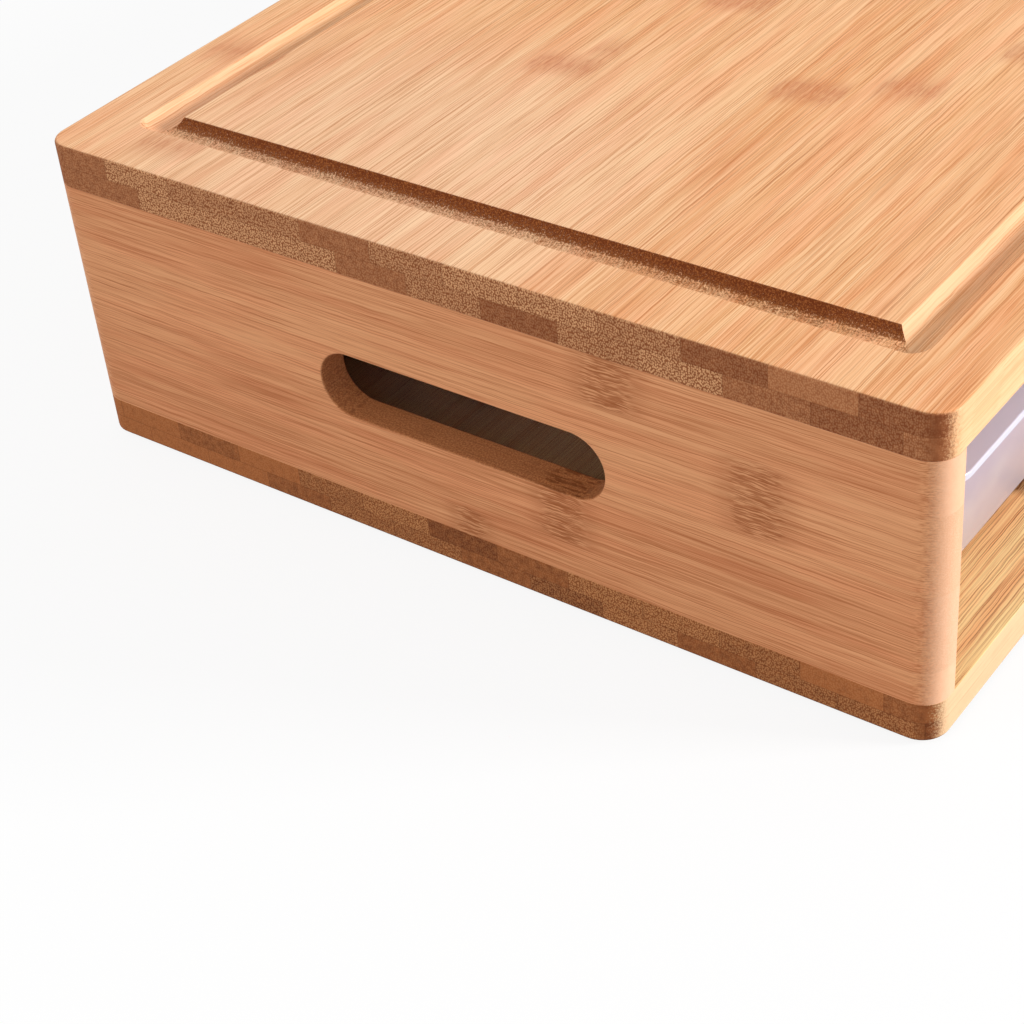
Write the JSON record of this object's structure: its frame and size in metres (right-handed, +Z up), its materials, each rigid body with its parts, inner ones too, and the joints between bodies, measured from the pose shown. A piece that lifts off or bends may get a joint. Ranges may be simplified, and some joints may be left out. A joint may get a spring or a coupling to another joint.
{
  "type": "cutting board with drawers",
  "caption": "Bamboo cutting board with a juice groove on an open-fronted box that holds clear pull-out drawers, with a hand slot in each end.",
  "frame": {"origin": "on the surface the box stands on, under the middle of the box", "axes": "+X along the box's length, +Y from the drawer fronts to the back, +Z up"},
  "size_m": [0.36, 0.258, 0.091],
  "materials": {
    "top_bamboo": "oiled satin",
    "base_bamboo": "oiled satin",
    "side_bamboo": "oiled satin",
    "back_bamboo": "oiled satin",
    "divider_bamboo": "oiled satin",
    "drawer_plastic": "clear moulded",
    "foot_rubber": "matte",
    "dowel_wood": "raw"
  },
  "bodies": {
    "box": {"top_board": "top_bamboo", "base_board": "base_bamboo", "left_side_panel": "side_bamboo", "right_side_panel": "side_bamboo", "back_panel": "back_bamboo", "divider_1": "divider_bamboo", "divider_2": "divider_bamboo", "foot_front_left": "foot_rubber", "foot_front_right": "foot_rubber", "foot_back_left": "foot_rubber", "foot_back_right": "foot_rubber", "dowel_base_left_side_1": "dowel_wood", "dowel_base_left_side_2": "dowel_wood", "dowel_base_left_side_3": "dowel_wood", "dowel_base_right_side_1": "dowel_wood", "dowel_base_right_side_2": "dowel_wood", "dowel_base_right_side_3": "dowel_wood", "dowel_base_back_1": "dowel_wood", "dowel_base_back_2": "dowel_wood", "dowel_base_back_3": "dowel_wood", "dowel_base_divider_1_1": "dowel_wood", "dowel_base_divider_1_2": "dowel_wood", "dowel_base_divider_2_1": "dowel_wood", "dowel_base_divider_2_2": "dowel_wood", "dowel_top_left_side_1": "dowel_wood", "dowel_top_left_side_2": "dowel_wood", "dowel_top_left_side_3": "dowel_wood", "dowel_top_right_side_1": "dowel_wood", "dowel_top_right_side_2": "dowel_wood", "dowel_top_right_side_3": "dowel_wood", "dowel_top_back_1": "dowel_wood", "dowel_top_back_2": "dowel_wood", "dowel_top_back_3": "dowel_wood", "dowel_top_divider_1_1": "dowel_wood", "dowel_top_divider_1_2": "dowel_wood", "dowel_top_divider_2_1": "dowel_wood", "dowel_top_divider_2_2": "dowel_wood"},
    "drawer_1": {"drawer_1": "drawer_plastic"},
    "drawer_2": {"drawer_2": "drawer_plastic"},
    "drawer_3": {"drawer_3": "drawer_plastic"}
  },
  "joints": [
    {"name": "drawer_1_slide", "type": "slide", "parent": "box", "child": "drawer_1", "axis": [0, -1, 0], "range_m": [0, 0.225]},
    {"name": "drawer_2_slide", "type": "slide", "parent": "box", "child": "drawer_2", "axis": [0, -1, 0], "range_m": [0, 0.225]},
    {"name": "drawer_3_slide", "type": "slide", "parent": "box", "child": "drawer_3", "axis": [0, -1, 0], "range_m": [0, 0.225]}
  ]
}
